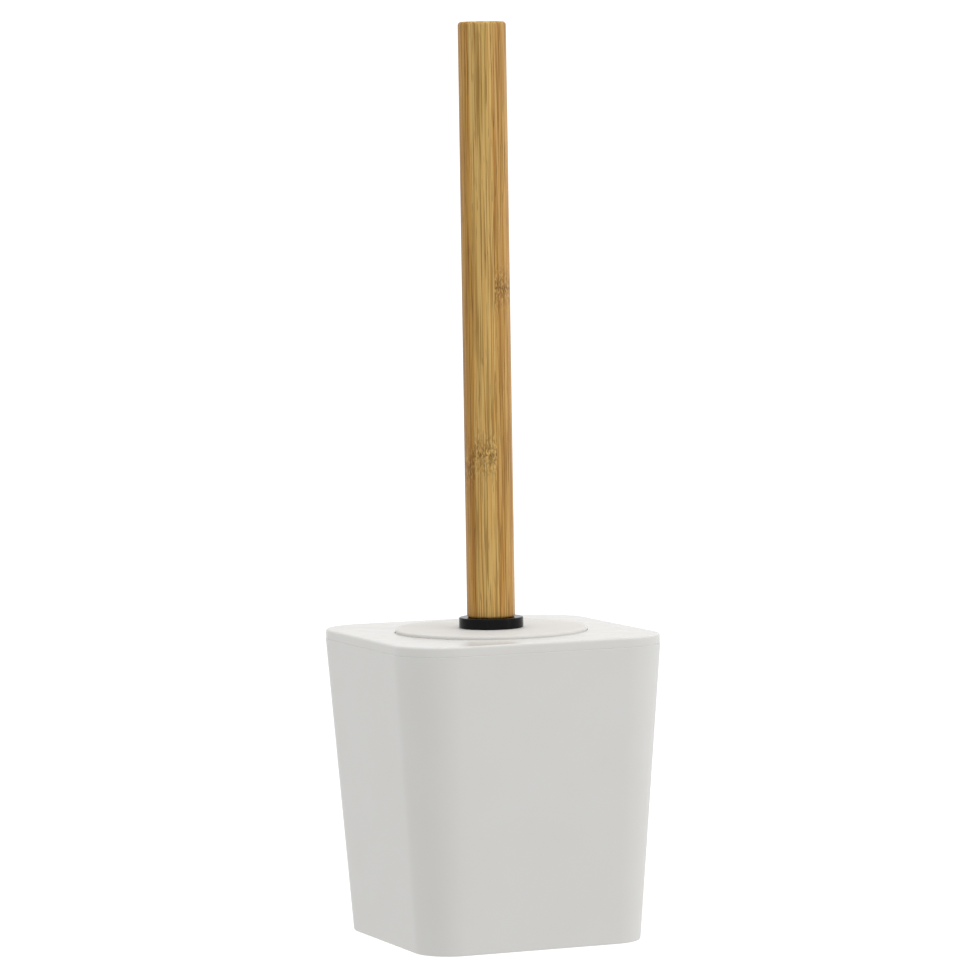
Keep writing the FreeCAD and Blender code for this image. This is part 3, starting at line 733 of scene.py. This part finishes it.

# %% [markdown]
# ## Bamboo
#
# Bamboo has no growth rings. It is pale wood crossed by bundles of dark fibre that run
# dead straight along the cane. On the side of the rod they show as long thin streaks, and on
# its sawn end the same bundles show as dots. So the pattern is solid: it changes fast across
# the rod and very slowly along it, and the two views agree by themselves.
#
# Every so often the cane had a knuckle. There the fibres swerve, the wood darkens, and small
# pale flecks show. Each strip was split from a different cane, so each has its own tone, its
# own streaks and its own knuckle height. The bundles crowd towards the cane's outer skin, so a
# strip pales towards the side that was the cane's inside; here every strip pales towards the
# right, the side that the strong soft box lights, so that paling is partly the cane and partly
# painted light. A glue line is a thin dark joint, and a clear lacquer lies over it all.

# %% Mix the bamboo
def bamboo_finish(name, tones, seed, knuckle, glue, inside):
    """One strip's wood. Tones are (shade, body, light); knuckle, glue and inside are places; inside is the
    pale side, partly painted light.
    """
    finish = new_finish(name)
    turn = (0, 0, -GRAIN_TURN)
    across, _, up = add(finish, "SeparateXYZ", {0: placed(finish, rotation=turn)}).outputs
    along = maths(finish, "SUBTRACT", up, knuckle)
    near = maths(finish, "MULTIPLY", maths(finish, "POWER", maths(finish, "DIVIDE", along, 7.0), 2.0), -1.0)
    near = maths(finish, "EXPONENT", near)

    swerve = noise(finish, placed(finish, (0.55, 0.55, 0.22), turn, (seed, 0, 0)), 1.0, 2.0)
    push = maths(finish, "MULTIPLY", near, 2.2)
    swerve = maths(finish, "MULTIPLY", maths(finish, "SUBTRACT", swerve, 0.5), push)
    shift = add(finish, "CombineXYZ", {0: swerve, 1: swerve, 2: 0.0}).outputs[0]

    def grain(width, length, **more):
        """Noise stretched along the cane, that swerves at the knuckle."""
        base = placed(finish, (1 / width, 1 / width, 1 / length), turn, (seed * 3.7, seed, seed * 0.31))
        stretch = (1 / width, 1 / width, 0)
        pushed = add(finish, "VectorMath", {0: shift, 1: stretch}, operation="MULTIPLY").outputs[0]
        moved = add(finish, "VectorMath", {0: base, 1: pushed}, operation="ADD").outputs[0]
        return noise(finish, moved, 1.0, **more)

    broad = grain(2.6, 120.0, detail=1.0)
    streak = grain(0.80, 70.0, detail=1.0)
    thread = grain(0.40, 34.0, detail=0.0)
    tick = grain(0.34, 10.0, detail=0.0)
    tinge = grain(1.5, 80.0, detail=1.0)
    # Paler towards one side, the right-hand side on every strip, where the right soft box lights: partly the
    # cane's paler inside, partly painted light.
    towards_pale_side = maths(finish, "ADD", across, maths(finish, "MULTIPLY", broad, 2.0))
    pith_and_painted_light = banded(finish, towards_pale_side, *inside, 0.0, 0.85)

    shade, body, light = ((*tone, 1) for tone in tones)
    colour = blend(finish, banded(finish, broad, 0.36, 0.64), body, light)
    colour = blend(finish, pith_and_painted_light, colour, (*[min(tone * 1.12, 1) for tone in tones[2]], 1))
    orange = (*(np.array(tones[1]) * (1.10, 0.90, 0.62)), 1)
    olive = (*(np.array(tones[1]) * (0.96, 1.08, 1.10)), 1)
    colour = blend(finish, banded(finish, tinge, 0.53, 0.60, 0.0, 0.60), colour, orange)
    colour = blend(finish, banded(finish, tinge, 0.46, 0.38, 0.0, 0.50), colour, olive)
    colour = blend(finish, banded(finish, streak, 0.53, 0.58, 0.0, 0.62), colour, shade)
    colour = blend(finish, banded(finish, streak, 0.45, 0.39, 0.0, 0.68), colour, light)
    colour = blend(finish, banded(finish, thread, 0.57, 0.62, 0.0, 0.74), colour, shade)
    colour = blend(finish, banded(finish, thread, 0.42, 0.37, 0.0, 0.45), colour, light)
    dark = (*[tone * 0.55 for tone in tones[0]], 1)
    colour = blend(finish, banded(finish, tick, 0.70, 0.76, 0.0, 0.60), colour, dark)

    band = banded(finish, maths(finish, "ABSOLUTE", maths(finish, "ADD", along, swerve)), 0.9, 0.2, 0.0, 0.65)
    fleck = noise(finish, placed(finish, (1.8, 1.8, 0.7), turn, (seed, seed, 0)), 1.0, 2.0)
    smoke = maths(finish, "MULTIPLY", near, banded(finish, fleck, 0.42, 0.60, 0.0, 0.70))
    spark = maths(finish, "MULTIPLY", near, banded(finish, fleck, 0.40, 0.30, 0.0, 0.60))
    colour = blend(finish, smoke, colour, dark)
    colour = blend(finish, spark, colour, (*[min(tone * 1.25, 1) for tone in tones[2]], 1))
    colour = blend(finish, maths(finish, "MULTIPLY", band, banded(finish, fleck, 0.35, 0.6)), colour, dark)

    gap = [maths(finish, "ABSOLUTE", maths(finish, "SUBTRACT", across, plane)) for plane in glue]
    gap = gap[0] if len(gap) == 1 else maths(finish, "MINIMUM", *gap)
    broken = banded(finish, tick, 0.40, 0.58, 0.10, 0.60)
    joint = maths(finish, "MULTIPLY", banded(finish, gap, 0.10, 0.03), broken)
    colour = blend(finish, joint, colour, dark)

    relief = maths(finish, "ADD", thread, maths(finish, "MULTIPLY", streak, 0.6))
    gloss = banded(finish, streak, 0.35, 0.65, 0.36, 0.46)
    return finished(
        finish, colour, bump=relief, strength=0.16, depth=0.00008, Roughness=gloss, IOR=1.45,
        Specular_IOR_Level=0.3,
    )


bamboo_tones = {
    "left": ((0.29, 0.13, 0.023), (0.47, 0.24, 0.046), (0.58, 0.32, 0.072)),
    "middle": ((0.36, 0.19, 0.042), (0.59, 0.355, 0.093), (0.73, 0.48, 0.165)),
    "right": ((0.32, 0.145, 0.025), (0.54, 0.285, 0.056), (0.67, 0.40, 0.125)),
}
# Where each strip pales: all on the right, the lit side, so the paling is partly the cane's paler inside and
# partly painted light.
pale_and_lit_sides = {"left": (-5.0, 0.0), "middle": (-0.5, 4.6), "right": (7.2, 9.8)}
knuckle_heights = {"left": 196.0, "middle": 201.0, "right": 270.0}
glue_planes = {"left": [GLUE_LEFT], "middle": [GLUE_LEFT, GLUE_RIGHT], "right": [GLUE_RIGHT]}
for number, (side, piece) in enumerate(strips.items()):
    places = knuckle_heights[side], glue_planes[side], pale_and_lit_sides[side]
    wood = bamboo_finish(f"bamboo_{side}_strip", bamboo_tones[side], 11.3 * number + 2.1, *places)
    dress(wood, piece)

# %% [markdown]
# ## Nylon, steel, brass and wire
#
# Filaments are translucent, so they get scattering and a soft sheen rather than hard gloss.
# The metals are plain machined stock: what tells them apart is colour and how far the fine
# turning marks spread the highlight.

# %% Mix the nylon and the metals
nylon = new_finish("nylon_filament")
mm = placed(nylon)
batch = noise(nylon, mm, 0.9, 2.0)
tone = blend(nylon, banded(nylon, batch, 0.35, 0.65), (0.84, 0.84, 0.82, 1), (0.74, 0.745, 0.73, 1))
finished(nylon, tone, Roughness=banded(nylon, batch, 0.3, 0.7, 0.30, 0.42), IOR=1.53,
         Subsurface_Weight=0.25, Subsurface_Radius=(0.0006, 0.0006, 0.0006), Subsurface_Scale=1.0)
dress(nylon, *bristles)


def metal_finish(name, light, dark, roughness, marks):
    """Bare metal with fine turning marks round it and a little tarnish."""
    finish = new_finish(name)
    turning = noise(finish, placed(finish, (0.3, 0.3, marks)), 1.0, 3.0)
    tarnish = noise(finish, placed(finish), 0.8, 4.0, 0.65)
    tone = blend(finish, banded(finish, tarnish, 0.4, 0.7), (*light, 1), (*dark, 1))
    gloss = banded(finish, tarnish, 0.3, 0.7, roughness, roughness + 0.12)
    return finished(finish, tone, bump=turning, strength=0.12, depth=0.00004, Roughness=gloss, Metallic=1.0)


dress(metal_finish("stud_zinc_steel", (0.60, 0.60, 0.61), (0.45, 0.45, 0.47), 0.30, 9.0), stud)
dress(metal_finish("insert_brass", (0.74, 0.56, 0.27), (0.55, 0.39, 0.17), 0.26, 9.0), insert)
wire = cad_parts["tuft_anchors"]
dress(metal_finish("anchor_wire", (0.78, 0.78, 0.79), (0.60, 0.60, 0.62), 0.30, 12.0), wire)

# %% [markdown]
# ## The studio
#
# White ware is shown on white, in soft light from all round. What the lens sees is a
# seamless sheet: a floor that sweeps up into a wall, one surface of revolution, so it looks
# the same from every side. It glows a plain white of its own. Only the camera sees it, so it
# neither lights the object nor shows in its gloss.
#
# What lights the object is the room, the same all round but for a brighter wall behind and to
# the right. That wall is what the cover's flat top mirrors at a low angle, so the top comes
# out paler than the sides. Two soft boxes at the sides and one above add a little shape.

# %% Light the room
CAMERA_AZIMUTH = math.radians(-22.176)


def toward(azimuth, elevation):
    """The direction of an azimuth and an elevation, in radians. Azimuth nought is -Y."""
    level = math.cos(elevation)
    return Vector((math.sin(azimuth) * level, -math.cos(azimuth) * level, math.sin(elevation)))


def soft_box(name, azimuth, elevation, distance, width, height, power):
    """A rectangular lamp round the object, at an azimuth and elevation in degrees."""
    lamp = bpy.data.lights.new(name, "AREA")
    lamp.shape, lamp.size, lamp.size_y, lamp.energy = "RECTANGLE", width, height, power
    box = bpy.data.objects.new(name, lamp)
    bpy.context.scene.collection.objects.link(box)
    direction = toward(math.radians(azimuth), math.radians(elevation))
    box.location = Vector((0, 0, 0.15)) + direction * distance
    box.rotation_mode = "QUATERNION"
    box.rotation_quaternion = (-direction).to_track_quat("-Z", "Y")
    return box


soft_box("box_left", -105, 20, 1.5, 0.5, 1.2, 0.2)
soft_box("box_right", 45, 20, 1.5, 0.5, 1.2, 3.5)
soft_box("box_top", 0, 88, 1.6, 1.2, 1.2, 8.0)

ROOM, ROOM_BEHIND, WALL_AZIMUTH = 0.678, 0.91, math.radians(144.3)
world = bpy.data.worlds.new("studio")
world.use_nodes = True
world.node_tree.nodes.clear()
direction = add(world, "TexCoord").outputs["Generated"]
wall = tuple(toward(WALL_AZIMUTH, 0))
facing = add(world, "VectorMath", {0: direction, 1: wall}, operation="DOT_PRODUCT").outputs["Value"]
glow = banded(world, facing, 0.25, 0.45, ROOM, ROOM_BEHIND)
room = add(world, "Background", {"Color": (1, 1, 1, 1), "Strength": glow})
add(world, "OutputWorld", {"Surface": room.outputs[0]})
bpy.context.scene.world = world

# %% Hang the white sheet
SHEET_RADIUS, SHEET_HEIGHT = 6000.0, 7000.0
sweep = rounded([(0, -0.02, 0), (SHEET_RADIUS, -0.02, 3000.0), (SHEET_RADIUS, SHEET_HEIGHT, 3000.0),
                 (0, SHEET_HEIGHT, 0)], closed=False)
sheet_grid = turned(divided(sweep, 400.0), 128)
sheet_poles = np.ptp(sheet_grid, axis=1).max(axis=1) < 1e-6
sheet_quads, sheet_triangles = grid_faces(*sheet_grid.shape[:2], sheet_poles, False)
sheet_mesh = bpy.data.meshes.new("white_sheet")
sheet_faces = sheet_quads.tolist() + sheet_triangles.tolist()
sheet_mesh.from_pydata((sheet_grid.reshape(-1, 3) * MM).tolist(), [], sheet_faces)
sheet_mesh.polygons.foreach_set("use_smooth", np.ones(len(sheet_mesh.polygons), bool))
white_sheet = bpy.data.objects.new("white_sheet", sheet_mesh)
bpy.context.scene.collection.objects.link(white_sheet)
white_sheet.visible_diffuse = white_sheet.visible_glossy = white_sheet.visible_shadow = False
white_sheet.visible_transmission = False
paper = new_finish("white_paper")
fibre = noise(paper, placed(paper), 0.4, 3.0)
sheet_white = blend(paper, fibre, (0.24, 0.24, 0.24, 1), (0.25, 0.25, 0.25, 1))
matt = {"Roughness": 1.0, "Specular_IOR_Level": 0.0}
glowing = {"Emission_Color": (1, 1, 1, 1), "Emission_Strength": 1.0}
finished(paper, sheet_white, **matt, **glowing)
dress(paper, white_sheet)

# %% [markdown]
# ## The camera
#
# The object is seen from a little above the floor and from one corner, with a long lens, so
# its upright edges stay nearly parallel. The camera stands where its back direction leaves
# the aim point, and is rolled very slightly.

# %% Place the camera
ELEVATION, ROLL = math.radians(3.928), math.radians(-0.906)
AIM_HEIGHT, AIM_SHIFT, DISTANCE = 0.186010, 0.000380, 2.171825
SENSOR, FOCAL = 36.0, 5226.039 / 980

back = toward(CAMERA_AZIMUTH, ELEVATION)
right = Vector((math.cos(CAMERA_AZIMUTH), math.sin(CAMERA_AZIMUTH), 0))
up = back.cross(right)
rolled_right = right * math.cos(ROLL) + up * math.sin(ROLL)
rolled_up = up * math.cos(ROLL) - right * math.sin(ROLL)

lens = bpy.data.cameras.new("camera")
lens.sensor_width, lens.lens = SENSOR, SENSOR * FOCAL
lens.clip_start, lens.clip_end = 0.05, 100
camera = bpy.data.objects.new("camera", lens)
bpy.context.scene.collection.objects.link(camera)
turned_axes = Matrix((rolled_right, rolled_up, back)).transposed().to_4x4()
place = Vector((0, 0, AIM_HEIGHT)) + right * AIM_SHIFT + back * DISTANCE
camera.matrix_world = Matrix.Translation(place) @ turned_axes
bpy.context.scene.camera = camera
bpy.context.scene.view_settings.view_transform = "Standard"
bpy.context.scene.view_settings.look = "None"
